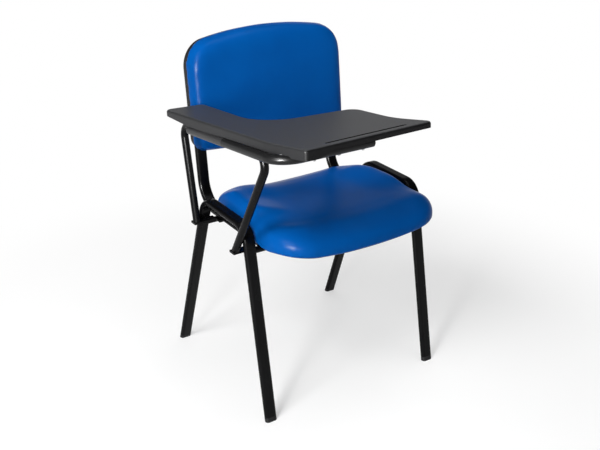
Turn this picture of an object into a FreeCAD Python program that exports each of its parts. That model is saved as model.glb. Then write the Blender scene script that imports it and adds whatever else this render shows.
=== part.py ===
"""Stackable conference chair with a writing tablet that turns up on the sitter's right.

Millimetres. +Z is up, the chair faces -Y and the sitter's left is +X. While it is built, the origin
is on the floor, midway between the feet. At the end the whole chair is moved, so that the origin lies
on the floor under the middle of its box.
"""
import FreeCAD
import Part
import Sketcher
import math
import os

Vector = FreeCAD.Vector
Placement = FreeCAD.Placement
Rotation = FreeCAD.Rotation
X_AXIS = Vector(1, 0, 0)
Y_AXIS = Vector(0, 1, 0)
Z_AXIS = Vector(0, 0, 1)
UNTURNED = Rotation()

doc = FreeCAD.newDocument("tablet_arm_chair")
sheet = doc.addObject("Spreadsheet::Sheet", "Sizes")

# Driving dimensions, in millimetres and degrees
SIZES = [
    # side frames
    ("frame_margin", 35, "side frame's middle outboard of the seat's rear corner"),
    ("foot_spread", 440, "front foot to rear foot, on the floor"),
    ("front_leg_run", 99, "how far the front leg leans back up to the rail"),
    ("rear_leg_run", 153, "how far the rear leg leans forward up to the rail"),
    ("rail_height", 461, "middle of the rail above the floor"),
    ("frame_bend", 43, "bend radius of the side frame, at the tube's middle"),
    ("tube_width", 30, "oval tube, wide way"),
    ("tube_depth", 15, "oval tube, narrow way"),
    ("tube_wall", 1.5, "oval tube wall"),
    ("foot_lift", 10, "leg tube's end above the floor"),
    ("plug_length", 25, "end plugs, inside the tube"),
    ("plug_clearance", 0.2, "end plugs to the tube's wall"),
    # cross tubes and back uprights
    ("cross_diameter", 14, "cross tubes"),
    ("cross_wall", 1.5, "cross tube wall"),
    ("upright_inset", 12, "back upright's middle inboard of the seat's rear corner"),
    ("bearer_drop", 54.5, "middle of the seat bearers below the rail's"),
    ("upright_foot", 163, "corner of bearer and upright, behind the middle"),
    ("upright_bend", 70, "bend radius from bearer to upright"),
    ("upright_length", 331.6, "upright, from its foot to its upper end"),
    ("back_tilt", 7.8, "lean of uprights and back, degrees"),
    ("cap_height", 2, "head of an end plug"),
    # seat
    ("seat_width", 410, "seat width at the rear corners"),
    ("seat_flare", 25, "how much wider the seat is at its front corners, each side"),
    ("seat_front", 266, "front edge ahead of the middle"),
    ("seat_rear", 120, "rear edge behind the middle"),
    ("seat_bow", 16, "how far the front edge bows out to its middle"),
    ("seat_side_bow", 3.5, "how far the sides bow out between the corners"),
    ("seat_front_corner", 92, "front corner radius"),
    ("seat_rear_corner", 62, "rear corner radius"),
    ("seat_height", 56, "cushion's crown above the board's underside"),
    ("seat_belly", 14, "height of the cushion's widest line above the board's underside"),
    ("seat_tuck", 6, "how far the cushion draws in below that line"),
    ("seat_crown_front", 100, "how far the crown closes in from the front"),
    ("seat_crown_side", 36, "how far the crown closes in from the sides"),
    ("seat_crown_rear", 70, "how far the crown closes in from the rear"),
    ("seat_board", 10, "seat board thickness"),
    ("seat_board_inset", 8, "board's edge inside the cushion's edge"),
    ("cover_thickness", 3, "cover under the seat"),
    ("board_clearance", 0.3, "board to cushion, at the edge"),
    # fasteners
    ("bolt_diameter", 6, "seat and back bolts"),
    ("bolt_clearance", 0.3, "bolt to its holes, on the radius"),
    ("thread_clearance", 0.05, "bolt to its nut, on the radius"),
    ("bolt_inset", 4, "seat bolts inboard of the bearer's middle"),
    ("bolt_head", 11, "bolt head diameter"),
    ("bolt_head_height", 3.3, "bolt head height"),
    ("bolt_socket", 4, "hexagon socket in the bolt head, across its flats"),
    ("bolt_socket_depth", 2, "hexagon socket in the bolt head"),
    ("nut_flange", 16, "T-nut flange diameter"),
    ("nut_flange_height", 1.2, "T-nut flange height"),
    ("nut_barrel", 8, "T-nut barrel diameter"),
    # back
    ("back_margin", 6, "back's edge beyond the upright's outer side"),
    ("back_low", 140, "lower edge, along the upright from its foot"),
    ("back_high", 428, "top of the back, along the upright from its foot"),
    ("back_arch", 34, "rise of the top edge to its middle"),
    ("back_sag", 14, "drop of the lower edge to its middle"),
    ("back_top_corner", 68, "upper corner radius"),
    ("back_low_corner", 30, "lower corner radius"),
    ("back_curve", 1400, "plan radius of the board's rear face"),
    ("back_crown", 3600, "plan radius of the cushion's front face"),
    ("back_cushion", 37, "cushion in front of the board, at the middle"),
    ("back_front_edge", 17, "rounding of the cushion's front edge"),
    ("back_board", 10, "back board thickness"),
    ("back_board_inset", 12, "board's edge inside the cushion's edge"),
    ("back_seat_gap", 0.3, "board to uprights"),
    ("shell_depth", 24, "shell behind the board's rear face"),
    ("shell_wall", 2.5, "shell wall"),
    ("shell_inset", 1, "shell's edge inside the cushion's edge"),
    ("shell_gap", 0.2, "shell to cushion"),
    ("shell_edge", 8, "rounding of the shell's rear edge"),
    ("shell_notch", 1, "shell to upright, where the upright goes in"),
    ("back_bolt_low", 190, "lower back bolts, along the upright from its foot"),
    ("back_bolt_high", 300, "upper back bolts, along the upright from its foot"),
    # arm
    ("arm_diameter", 18, "arm tube"),
    ("arm_wall", 1.5, "arm tube wall"),
    ("arm_clearance", 2, "arm tube to the side frame"),
    ("arm_bend", 30, "bend radius of the arm tube"),
    ("arm_front_tilt", 28.6, "front upright's forward lean, degrees"),
    ("arm_rear_tilt", 12.6, "rear upright's backward lean, degrees"),
    ("strap_width", 20, "arm straps"),
    ("strap_front_gap", 2.7, "front strap to the front cross tube"),
    ("strap_rear_gap", 0.9, "rear strap to the rear cross tube"),
    ("strap_thickness", 5, "arm straps"),
    ("strap_margin", 12, "strap beyond its bolt"),
    ("strap_lip", 1, "strap beyond the arm tube"),
    ("strap_rise", 9, "joggle of the strap beside the bearer"),
    ("strap_slant", 8, "length of the joggle"),
    ("joggle_gap", 2, "bearer to the joggle"),
    # hinge
    ("hinge_tilt", 6.7, "hinge and arm rail rise to the front, degrees"),
    ("tablet_tilt", 6, "tablet rises to the front, degrees"),
    ("hinge_height", 653.5, "hinge axis above the floor, at the middle"),
    ("hinge_diameter", 20, "hinge sleeve and tablet tube"),
    ("hinge_wall", 1.5, "hinge sleeve and tablet tube wall"),
    ("weld_gap", 0.3, "sleeve to arm tube"),
    ("sleeve_rear", 50, "sleeve's rear end, behind the middle"),
    ("sleeve_front", 111, "sleeve's front end, ahead of the middle"),
    ("bush_length", 22, "hinge bushes"),
    ("bush_flange", 2, "front bush's flange"),
    ("spigot_diameter", 14, "hinge spigot in the bushes"),
    ("spigot_grip", 40, "hinge spigot in the tablet tube"),
    ("running_clearance", 0.05, "spigot to bushes, on the radius"),
    ("hinge_end_gap", 0.3, "tablet tube to bush flange"),
    ("stop_pin_diameter", 4, "stop pin"),
    ("stop_slot_depth", 3, "stop slot in the spigot"),
    ("stop_clearance", 0.4, "stop pin to its slot"),
    ("tablet_turn_angle", 105, "how far the tablet turns up, degrees"),
    # tablet tube
    ("tube_reach", 328, "tube under the tablet, ahead of the middle"),
    ("tube_end", 225, "end of that tube, inboard of the hinge axis"),
    ("tube_bend", 50, "bend radius of the tablet tube"),
    # tablet
    ("tablet_above", 32, "writing face above the hinge axis"),
    ("tablet_plate", 5, "plate thickness"),
    ("tablet_skirt", 22, "outer skirt height"),
    ("skirt_gap", 0.8, "skirt to sleeve and tablet tube"),
    ("tablet_rim", 13, "rim height on the other sides"),
    ("rim_wall", 3, "skirt and rim thickness"),
    ("tablet_nose", 5.5, "rounding of the upper edge"),
    ("tablet_front", 376, "front outer corner, ahead of the middle"),
    ("front_slant", 11, "how far the front edge draws back to its inner end"),
    ("tablet_rear", 152, "rear end, behind the middle"),
    ("rear_outer", 13, "rear outer corner, outboard of the hinge axis"),
    ("front_outer", 31, "front outer corner, inboard of the hinge axis"),
    ("front_inner", 362, "front inner corner, inboard of the hinge axis"),
    ("flare_start", 283, "where both sides turn to the front corners, ahead of the middle"),
    ("outer_flare", 6.3, "outer side at that place, inboard of the hinge axis"),
    ("inner_flare", 319, "inner side at that place, inboard of the hinge axis"),
    ("outer_flare_radius", 250, "curve of the outer side at that place"),
    ("inner_flare_radius", 140, "curve of the inner side at that place"),
    ("back_inner", 313, "back inner corner, inboard of the hinge axis"),
    ("elbow_inner", 84, "elbow rest's inner edge, inboard of the hinge axis"),
    ("elbow_front", 126, "elbow rest's front corner, ahead of the middle"),
    ("writing_back", 149, "writing face's back inner corner, ahead of the middle"),
    ("elbow_slant", 12, "how far the rear end slants forward to the inside"),
    ("elbow_curve", 95, "curve from elbow rest to writing face"),
    ("rear_corner", 14, "rear corner radius"),
    ("front_corner", 11, "front corner radius"),
    ("writing_corner", 32, "back inner corner radius"),
    ("rib_thickness", 2.5, "ribs"),
    ("rib_height", 8, "ribs under the plate"),
    ("rib_pitch", 75, "between ribs"),
    ("groove_width", 6, "pencil groove"),
    ("groove_depth", 2, "pencil groove"),
    ("groove_back", 18, "pencil groove behind the front edge"),
    ("groove_start", 88, "groove's outer end, inboard of the hinge axis"),
    ("groove_length", 209, "pencil groove"),
    ("boss_length", 16, "screw bosses, along the tube"),
    ("boss_width", 18, "screw bosses, across the tube"),
    ("boss_start", 80, "first boss, inboard of the hinge axis"),
    ("boss_pitch", 60, "between bosses"),
    ("screw_diameter", 4, "tablet screws"),
    ("screw_head", 8, "tablet screw heads"),
    ("screw_head_height", 2.5, "tablet screw heads"),
    ("screw_recess", 1.2, "cross recess in the screw head, width and depth"),
    ("screw_end_gap", 3, "screw's tip to the plate"),
    ("pad_diameter", 12, "rest pads"),
    ("pad_height", 5, "rest pads"),
    ("pad_gap", 0.3, "rest pad to the arm's top rail"),
    ("pad_rear", 60, "rear rest pad, behind the middle"),
    ("pad_front", 120, "front rest pad, ahead of the middle"),
    ("post_bite", 1, "rest post into the plate"),
]
for row, (alias, number, note) in enumerate(SIZES, start=1):
    sheet.set("A%d" % row, note)
    sheet.set("B%d" % row, str(number))
    sheet.setAlias("B%d" % row, alias)
doc.recompute()


class Size:
    """A number from the sheet, or a sum of them, with the formula that binds a feature to it."""

    def __init__(self, value, formula):
        self.value = value
        self.formula = formula

    def __add__(self, other):
        other = as_size(other)
        return Size(self.value + other.value, "(%s + %s)" % (self.formula, other.formula))

    def __sub__(self, other):
        other = as_size(other)
        return Size(self.value - other.value, "(%s - %s)" % (self.formula, other.formula))

    def __mul__(self, other):
        other = as_size(other)
        return Size(self.value * other.value, "(%s * %s)" % (self.formula, other.formula))

    def __truediv__(self, other):
        other = as_size(other)
        return Size(self.value / other.value, "(%s / %s)" % (self.formula, other.formula))

    def __neg__(self):
        return Size(-self.value, "(0 - %s)" % self.formula)


def as_size(number):
    return number if isinstance(number, Size) else Size(number, repr(number))


def size(alias):
    return Size(float(sheet.get(alias)), "Sizes." + alias)


def tangent(angle):
    return Size(math.tan(math.radians(angle.value)), "tan(%s * 1 deg)" % angle.formula)


def sine(angle):
    return Size(math.sin(math.radians(angle.value)), "sin(%s * 1 deg)" % angle.formula)


def cosine(angle):
    return Size(math.cos(math.radians(angle.value)), "cos(%s * 1 deg)" % angle.formula)


def bind(feature, name, amount):
    feature.setExpression(name, amount.formula)


# Sketches

def new_body(name):
    body = doc.addObject("PartDesign::Body", name)
    body.Label = name
    return body


def sketch_on(body, role, offset=None):
    plane = [item for item in body.Origin.OriginFeatures if item.Role == role][0]
    sketch = body.newObject("Sketcher::SketchObject", body.Name + "_sketch")
    sketch.AttachmentSupport = [(plane, "")]
    sketch.MapMode = "FlatFace"
    if offset is not None:
        sketch.AttachmentOffset = offset
    return sketch


def bound(sketch, amount, *constraint):
    index = sketch.addConstraint(Sketcher.Constraint(*constraint, amount.value))
    sketch.setExpression("Constraints[%d]" % index, amount.formula)


def rounded(points, radii, index):
    """Where the rounding of one corner starts, its middle and where it ends."""
    corner = points[index]
    if radii[index] is None:
        return corner, None, corner
    before = points[index - 1] - corner
    after = points[(index + 1) % len(points)] - corner
    before.normalize()
    after.normalize()
    half = before.getAngle(after) / 2
    reach = radii[index].value / math.tan(half)
    middle = before + after
    middle.normalize()
    nearest = radii[index].value / math.sin(half) - radii[index].value
    return corner + before * reach, corner + middle * nearest, corner + after * reach


def draw_outline(sketch, corners, closed=True):
    """Straight runs between corners, each corner square or rounded with a tangent arc.

    A corner is (across, up, radius), and the radius is None for a square corner.
    """
    points = [Vector(across.value, up.value, 0) for across, up, radius in corners]
    radii = [radius for across, up, radius in corners]
    turns = [rounded(points, radii, index) for index in range(len(corners))]
    run_count = len(corners) if closed else len(corners) - 1
    runs = []
    for index in range(run_count):
        following = (index + 1) % len(corners)
        line = Part.LineSegment(turns[index][2], turns[following][0])
        runs.append(sketch.addGeometry(line, False))
    for index, (across, up, radius) in enumerate(corners):
        before = runs[index - 1] if closed or index > 0 else None
        after = runs[index] if closed or index < run_count else None
        if radius is None:
            target, end = (after, 1) if after is not None else (before, 2)
            if before is not None and after is not None:
                sketch.addConstraint(Sketcher.Constraint("Coincident", before, 2, after, 1))
        else:
            arc = Part.Arc(*turns[index])
            bend = sketch.addGeometry(arc, False)
            first, last = (1, 2) if same_place(sketch.getPoint(bend, 1), turns[index][0]) else (2, 1)
            sketch.addConstraint(Sketcher.Constraint("Tangent", before, 2, bend, first))
            sketch.addConstraint(Sketcher.Constraint("Tangent", bend, last, after, 1))
            bound(sketch, radius, "Radius", bend)
            target = sketch.addGeometry(Part.Point(points[index]), True)
            end = 1
            sketch.addConstraint(Sketcher.Constraint("PointOnObject", target, 1, before))
            sketch.addConstraint(Sketcher.Constraint("PointOnObject", target, 1, after))
        bound(sketch, across, "DistanceX", -1, 1, target, end)
        bound(sketch, up, "DistanceY", -1, 1, target, end)


def same_place(one, other):
    return one.distanceToPoint(other) < 0.001


def draw_oval(sketch, width, depth):
    """A flat-sided oval about the sketch's origin, wide along its first axis."""
    reach = (width - depth) / 2
    radius = depth / 2
    right = Vector(reach.value, 0, 0)
    half = Vector(0, radius.value, 0)
    circle = Part.Circle(right, Z_AXIS, radius.value)
    mirror = Part.Circle(-right, Z_AXIS, radius.value)
    quarter = math.pi / 2
    end = sketch.addGeometry(Part.ArcOfCircle(circle, -quarter, quarter), False)
    start = sketch.addGeometry(Part.ArcOfCircle(mirror, quarter, 3 * quarter), False)
    top = sketch.addGeometry(Part.LineSegment(right + half, half - right), False)
    low = sketch.addGeometry(Part.LineSegment(-right - half, right - half), False)
    for one, its_end, other, other_end in ((end, 2, top, 1), (top, 2, start, 1),
                                           (start, 2, low, 1), (low, 2, end, 1)):
        sketch.addConstraint(Sketcher.Constraint("Tangent", one, its_end, other, other_end))
    sketch.addConstraint(Sketcher.Constraint("PointOnObject", end, 3, -1))
    sketch.addConstraint(Sketcher.Constraint("PointOnObject", start, 3, -1))
    sketch.addConstraint(Sketcher.Constraint("Equal", end, start))
    bound(sketch, reach, "DistanceX", -1, 1, end, 3)
    bound(sketch, reach, "DistanceX", start, 3, -1, 1)
    bound(sketch, radius, "Radius", end)


def draw_circle(sketch, radius, across=None, up=None):
    middle = Vector(across.value if across else 0, up.value if up else 0, 0)
    ring = sketch.addGeometry(Part.Circle(middle, Z_AXIS, radius.value), False)
    bound(sketch, radius, "Radius", ring)
    if across is None:
        sketch.addConstraint(Sketcher.Constraint("PointOnObject", ring, 3, -2))
    else:
        bound(sketch, across, "DistanceX", -1, 1, ring, 3)
    if up is None:
        sketch.addConstraint(Sketcher.Constraint("PointOnObject", ring, 3, -1))
    else:
        bound(sketch, up, "DistanceY", -1, 1, ring, 3)


# Features

def pad(body, sketch, length, both_ways=False, downwards=False):
    feature = body.newObject("PartDesign::Pad", body.Name + "_pad")
    feature.Profile = sketch
    bind(feature, "Length", length)
    feature.SideType = "Symmetric" if both_ways else "One side"
    feature.Reversed = downwards
    return feature


def pocket(body, sketch, length=None, upwards=False):
    """Cuts down from the sketch by the length, or right through both ways."""
    doc.recompute()
    before = body.Shape.Volume
    feature = body.newObject("PartDesign::Pocket", body.Name + "_pocket")
    feature.Profile = sketch
    if length is None:
        feature.Type = "ThroughAll"
        feature.SideType = "Symmetric"
    else:
        bind(feature, "Length", length)
        feature.Reversed = upwards
    doc.recompute()
    if body.Shape.Volume >= before:
        raise RuntimeError("%s cuts nothing" % feature.Name)
    return feature


def turned(name, profile):
    """A piece turned about its own Z axis, from (radius, height) corners."""
    body = new_body(name)
    sketch = sketch_on(body, "XZ_Plane")
    draw_outline(sketch, [(as_size(across), as_size(up), None) for across, up in profile])
    feature = body.newObject("PartDesign::Revolution", name + "_turning")
    feature.Profile = sketch
    feature.ReferenceAxis = (sketch, ["V_Axis"])
    feature.Angle = 360
    return body


def bent_tube(name, role, corners, draw_section, inner=None):
    """A tube along a bent path; draw_section draws its outside, and inner its bore."""
    body = new_body(name)
    path = sketch_on(body, role)
    draw_outline(path, corners, closed=False)
    first, second = [Vector(across.value, up.value, 0) for across, up, radius in corners[:2]]
    heading = second - first
    if role == "YZ_Plane":
        start = Vector(0, first.x, first.y)
        lean = math.degrees(math.atan2(-heading.x, heading.y))
    else:
        start = first
        lean = 90 if heading.y < 0 else -90
    profile = sketch_on(body, "XY_Plane", Placement(start, Rotation(X_AXIS, lean)))
    draw_section(profile)
    if inner is not None:
        inner(profile)
    doc.recompute()
    feature = body.newObject("PartDesign::AdditivePipe", name + "_bend")
    feature.Profile = profile
    feature.Spine = (path, ["Edge%d" % (index + 1) for index in range(len(path.Shape.Edges))])
    return body


def copies(label, body, places):
    """Like pieces in one node, each a separate solid."""
    doc.recompute()
    group = doc.addObject("Part::Feature", label)
    solids = []
    for place in places:
        solid = body.Shape.copy()
        solid.Placement = place
        solids.append(solid)
    group.Shape = Part.makeCompound(solids)
    return group


def cut(label, base, tool):
    feature = doc.addObject("Part::Cut", label)
    feature.Base = base
    feature.Tool = tool
    return feature


def together(name, pieces):
    feature = doc.addObject("Part::Compound", name)
    feature.Links = pieces
    return feature


def fused(label, pieces):
    feature = doc.addObject("Part::MultiFuse", label)
    feature.Shapes = pieces
    feature.Refine = True
    return feature


def box(name, low, high):
    feature = doc.addObject("Part::Box", name)
    feature.Placement = Placement(Vector(*[corner.value for corner in low]), UNTURNED)
    for side, start, end in zip(("Length", "Width", "Height"), low, high):
        bind(feature, side, end - start)
    return feature


def cylinder(name, radius, height, place):
    feature = doc.addObject("Part::Cylinder", name)
    bind(feature, "Radius", radius)
    bind(feature, "Height", height)
    feature.Placement = place
    return feature


ZERO = as_size(0)
CROWN_STEPS = 6
CROWN_FULLNESS = 0.87
BOW_SHARE = 0.3
SIDE_SHARE = 0.4
ARCH_SHARE = 0.668
SAG_SHARE = 0.46
nodes = []

# Shared places
seat_half = size("seat_width") / 2
leg_x = seat_half + size("frame_margin")
upright_x = seat_half - size("upright_inset")
back_half = upright_x + size("tube_width") / 2 + size("back_margin")
half_spread = size("foot_spread") / 2
bearer_level = size("rail_height") - size("bearer_drop")
bearer_under = bearer_level - size("tube_depth") / 2
seat_base = bearer_level + size("tube_depth") / 2
board_under = seat_base + size("cover_thickness")
bore_width = size("tube_width") - size("tube_wall") * 2
bore_depth = size("tube_depth") - size("tube_wall") * 2
plug_width = bore_width - size("plug_clearance") * 2
plug_depth = bore_depth - size("plug_clearance") * 2
bolt_hole = size("bolt_diameter") / 2 + size("bolt_clearance")


def oval_outside(sketch):
    draw_oval(sketch, size("tube_width"), size("tube_depth"))


def oval_bore(sketch):
    draw_oval(sketch, bore_width, bore_depth)


# Side frames: front leg, rail and rear leg from one oval tube

def leg_at(height, end):
    """How far along Y the middle of a leg lies at a height; end is -1 in front and 1 behind."""
    run = size("front_leg_run") if end < 0 else size("rear_leg_run")
    return (half_spread - run * height / size("rail_height")) * end


side_corners = [
    (leg_at(size("foot_lift"), -1), size("foot_lift"), None),
    (leg_at(size("rail_height"), -1), size("rail_height"), size("frame_bend")),
    (leg_at(size("rail_height"), 1), size("rail_height"), size("frame_bend")),
    (leg_at(size("foot_lift"), 1), size("foot_lift"), None),
]
side_cores = []
for side, sign in (("left", 1), ("right", -1)):
    place = Placement(Vector(sign * leg_x.value, 0, 0), UNTURNED)
    frame = bent_tube(side + "_side_frame", "YZ_Plane", side_corners, oval_outside, oval_bore)
    frame.Placement = place
    nodes.append(frame)
    core = bent_tube(side + "_frame_core", "YZ_Plane", side_corners, oval_outside)
    core.Placement = place
    side_cores.append(core)

# Glides: a plug in the leg and a sole with a level underside
sole_length = size("foot_lift") * 3
floor_size = size("foot_spread") * 2
above_floor = box("above_floor", (-floor_size, -floor_size, ZERO),
                  (floor_size, floor_size, size("rail_height")))
for end_name, end in (("front", -1), ("rear", 1)):
    run = size("front_leg_run") if end < 0 else size("rear_leg_run")
    lean = math.degrees(math.atan2(run.value, size("rail_height").value)) * end
    for side, sign in (("left", 1), ("right", -1)):
        blank = new_body("%s_%s_glide_blank" % (end_name, side))
        sole = sketch_on(blank, "XY_Plane")
        oval_outside(sole)
        pad(blank, sole, sole_length, downwards=True)
        plug = sketch_on(blank, "XY_Plane")
        draw_oval(plug, plug_width, plug_depth)
        pad(blank, plug, size("plug_length"))
        foot = Vector(sign * leg_x.value, leg_at(size("foot_lift"), end).value, size("foot_lift").value)
        blank.Placement = Placement(foot, Rotation(X_AXIS, lean))
        glide = doc.addObject("Part::Common", "%s_%s_glide" % (end_name, side))
        glide.Base = blank
        glide.Tool = above_floor
        nodes.append(glide)

# Cross tubes: coped to the legs, the front one level with the seat bearers, the rear one under them
cross_radius = size("cross_diameter") / 2
rear_cross_level = bearer_under - cross_radius
for end_name, end, height in (("front", -1, bearer_level), ("rear", 1, rear_cross_level)):
    rod = new_body(end_name + "_cross_rod")
    section = sketch_on(rod, "YZ_Plane")
    draw_circle(section, cross_radius, leg_at(height, end), height)
    draw_circle(section, cross_radius - size("cross_wall"), leg_at(height, end), height)
    pad(rod, section, leg_x * 2 - size("tube_depth"), both_ways=True)
    nodes.append(cut(end_name + "_cross_tube", rod, together(end_name + "_legs", side_cores)))
front_cross_start = Vector(-leg_x.value, leg_at(bearer_level, -1).value, bearer_level.value)
front_cross_core = cylinder("front_cross_core", cross_radius, leg_x * 2,
                            Placement(front_cross_start, Rotation(Y_AXIS, 90)))

# Back uprights: seat bearer and upright from one oval tube
upright_top_y = size("upright_foot") + size("upright_length") * sine(size("back_tilt"))
upright_top_z = bearer_level + size("upright_length") * cosine(size("back_tilt"))
upright_corners = [
    (leg_at(bearer_level, -1), bearer_level, None),
    (size("upright_foot"), bearer_level, size("upright_bend")),
    (upright_top_y, upright_top_z, None),
]
strap_reach = cross_radius + size("strap_width") / 2
front_row = leg_at(bearer_level, -1) + strap_reach + size("strap_front_gap")
rear_row = leg_at(rear_cross_level, 1) - strap_reach - size("strap_rear_gap")
bolt_rows = (front_row, rear_row)
back_rows = (size("back_bolt_low"), size("back_bolt_high"))
back_turn = Rotation(X_AXIS, -size("back_tilt").value)
back_place = Placement(Vector(0, size("upright_foot").value, bearer_level.value), back_turn)
for side, sign in (("left", 1), ("right", -1)):
    upright = bent_tube(side + "_upright_blank", "YZ_Plane", upright_corners, oval_outside, oval_bore)
    bolt_holes = sketch_on(upright, "XY_Plane")
    for row in bolt_rows:
        draw_circle(bolt_holes, bolt_hole, -size("bolt_inset") * sign, row)
    pocket(upright, bolt_holes)
    back_holes = sketch_on(upright, "XZ_Plane", Placement(
        Vector(0, bearer_level.value, -size("upright_foot").value), back_turn))
    for row in back_rows:
        draw_circle(back_holes, bolt_hole, None, row)
    pocket(upright, back_holes)
    upright.Placement = Placement(Vector(sign * upright_x.value, 0, 0), UNTURNED)
    nodes.append(cut(side + "_back_upright", upright, front_cross_core))

# End plugs of the back uprights
plug_body = new_body("oval_plug")
plug_head = sketch_on(plug_body, "XY_Plane")
oval_outside(plug_head)
pad(plug_body, plug_head, size("cap_height"))
plug_stem = sketch_on(plug_body, "XY_Plane")
draw_oval(plug_stem, plug_width, plug_depth)
pad(plug_body, plug_stem, size("plug_length"), downwards=True)
upright_ends = []
for sign in (1, -1):
    upright_end = Vector(sign * upright_x.value, upright_top_y.value, upright_top_z.value)
    upright_ends.append(Placement(upright_end, back_turn))
nodes.append(copies("upright_plugs", plug_body, upright_ends))

# Seat: cover, board and cushion share one outline, each with its own inset

def bow_radius(half_width, rise, share):
    """Radius of the arc in the middle of a bowed edge, which takes this share of its half width."""
    return half_width * half_width * share / rise


def seat_outline(front, side, rear):
    wide = seat_half + size("seat_flare") - side
    narrow = seat_half - side
    ahead = size("seat_front") - front
    behind = size("seat_rear") - rear
    front_corner = size("seat_front_corner") - side
    rear_corner = size("seat_rear_corner") - side / 2
    bow = bow_radius(wide, size("seat_bow"), BOW_SHARE)
    waist = (wide + narrow) / 2 + size("seat_side_bow")
    middle = (behind - ahead) / 2
    side_bow = bow_radius((ahead + behind) / 2, size("seat_side_bow"), SIDE_SHARE)
    return [(-wide, -ahead, front_corner), (ZERO, -ahead - size("seat_bow"), bow),
            (wide, -ahead, front_corner), (waist, middle, side_bow), (narrow, behind, rear_corner),
            (-narrow, behind, rear_corner), (-waist, middle, side_bow)]


bolt_x = upright_x - size("bolt_inset")
seat_bolts_at = [(sign, row) for sign in (1, -1) for row in bolt_rows]


def draw_seat_holes(sketch, radius):
    for sign, row in seat_bolts_at:
        draw_circle(sketch, radius, bolt_x * sign, row)


cover = new_body("seat_under_cover")
cover_inset = size("seat_board_inset")
cover_face = sketch_on(cover, "XY_Plane")
draw_outline(cover_face, seat_outline(cover_inset, cover_inset, cover_inset))
pad(cover, cover_face, size("cover_thickness"))
cover_holes = sketch_on(cover, "XY_Plane")
draw_seat_holes(cover_holes, bolt_hole)
pocket(cover, cover_holes)
cover.Placement = Placement(Vector(0, 0, seat_base.value), UNTURNED)
nodes.append(cover)

board = new_body("seat_board")
board_face = sketch_on(board, "XY_Plane")
draw_outline(board_face, seat_outline(cover_inset, cover_inset, cover_inset))
pad(board, board_face, size("seat_board"))
board_holes = sketch_on(board, "XY_Plane")
draw_seat_holes(board_holes, size("nut_barrel") / 2 + size("thread_clearance"))
pocket(board, board_holes)
flange_seats = sketch_on(board, "XY_Plane", Placement(Vector(0, 0, size("seat_board").value), UNTURNED))
draw_seat_holes(flange_seats, size("nut_flange") / 2 + size("thread_clearance"))
pocket(board, flange_seats, size("nut_flange_height"))
board.Placement = Placement(Vector(0, 0, board_under.value), UNTURNED)
nodes.append(board)

# The cushion widens from its underside to the belly, then closes over the crown in even turns
crown_rise = size("seat_height") - size("seat_belly")
seat_levels = [(ZERO, size("seat_tuck"), size("seat_tuck"), size("seat_tuck"))]
for step in range(CROWN_STEPS + 1):
    turn = math.pi / 2 * step / CROWN_STEPS
    closed_in = 1 - math.cos(turn) ** CROWN_FULLNESS
    lift = size("seat_belly") + crown_rise * (math.sin(turn) ** CROWN_FULLNESS)
    seat_levels.append((lift, size("seat_crown_front") * closed_in, size("seat_crown_side") * closed_in,
                        size("seat_crown_rear") * closed_in))
cushion = new_body("seat_cushion")
levels = []
for lift, front, side, rear in seat_levels:
    level = sketch_on(cushion, "XY_Plane", Placement(Vector(0, 0, lift.value), UNTURNED))
    draw_outline(level, seat_outline(front, side, rear))
    levels.append(level)
crown = cushion.newObject("PartDesign::AdditiveLoft", "seat_crown")
crown.Profile = levels[0]
crown.Sections = levels[1:]
recess = sketch_on(cushion, "XY_Plane")
recess_inset = cover_inset - size("board_clearance")
draw_outline(recess, seat_outline(recess_inset, recess_inset, recess_inset))
pocket(cushion, recess, size("seat_board"), upwards=True)
cushion.Placement = board.Placement
nodes.append(cushion)

# Seat fasteners
nut = turned("seat_t_nut", [
    (size("bolt_diameter") / 2 + size("thread_clearance"), size("nut_flange_height") - size("seat_board")),
    (size("nut_barrel") / 2, size("nut_flange_height") - size("seat_board")),
    (size("nut_barrel") / 2, 0),
    (size("nut_flange") / 2, 0),
    (size("nut_flange") / 2, size("nut_flange_height")),
    (size("bolt_diameter") / 2 + size("thread_clearance"), size("nut_flange_height")),
])
nut_level = board_under + size("seat_board") - size("nut_flange_height")
nut_places = []
for sign, row in seat_bolts_at:
    nut_places.append(Placement(Vector(sign * bolt_x.value, row.value, nut_level.value), UNTURNED))
nodes.append(copies("seat_t_nuts", nut, nut_places))


def bolt(name, length):
    """A bolt with its shank up from the origin and a hexagon socket in its head."""
    head = size("bolt_head") / 2
    shank = size("bolt_diameter") / 2
    brim = size("bolt_head_height") / 3
    body = turned(name, [(0, -size("bolt_head_height")), (head - brim, -size("bolt_head_height")),
                         (head, -brim), (head, 0), (shank, 0), (shank, length), (0, length)])
    head_face = Placement(Vector(0, 0, -size("bolt_head_height").value), UNTURNED)
    socket = sketch_on(body, "XY_Plane", head_face)
    half = size("bolt_socket") / 2
    corner = half / math.cos(math.radians(30))
    edge = corner / 2
    draw_outline(socket, [(corner, ZERO, None), (edge, half, None), (-edge, half, None),
                          (-corner, ZERO, None), (-edge, -half, None), (edge, -half, None)])
    pocket(body, socket, size("bolt_socket_depth"), upwards=True)
    return body


bolt_tip = board_under + size("seat_board") - size("nut_flange_height")
plain_bolt = bolt("plain_seat_bolt", bolt_tip - bearer_under)
strap_bolt = bolt("strap_seat_bolt", bolt_tip - bearer_under + size("strap_thickness"))
bolt_groups = []
for side, sign, kind, drop in (("left", 1, plain_bolt, ZERO),
                               ("right", -1, strap_bolt, size("strap_thickness"))):
    under = bearer_under - drop
    places = [Placement(Vector(sign * bolt_x.value, row.value, under.value), UNTURNED) for row in bolt_rows]
    bolt_groups.append(copies(side + "_seat_bolts", kind, places))
nodes.append(together("seat_bolts", bolt_groups))

# Back: pieces in the uprights' own leaning frame, all bent to one plan curve

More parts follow.
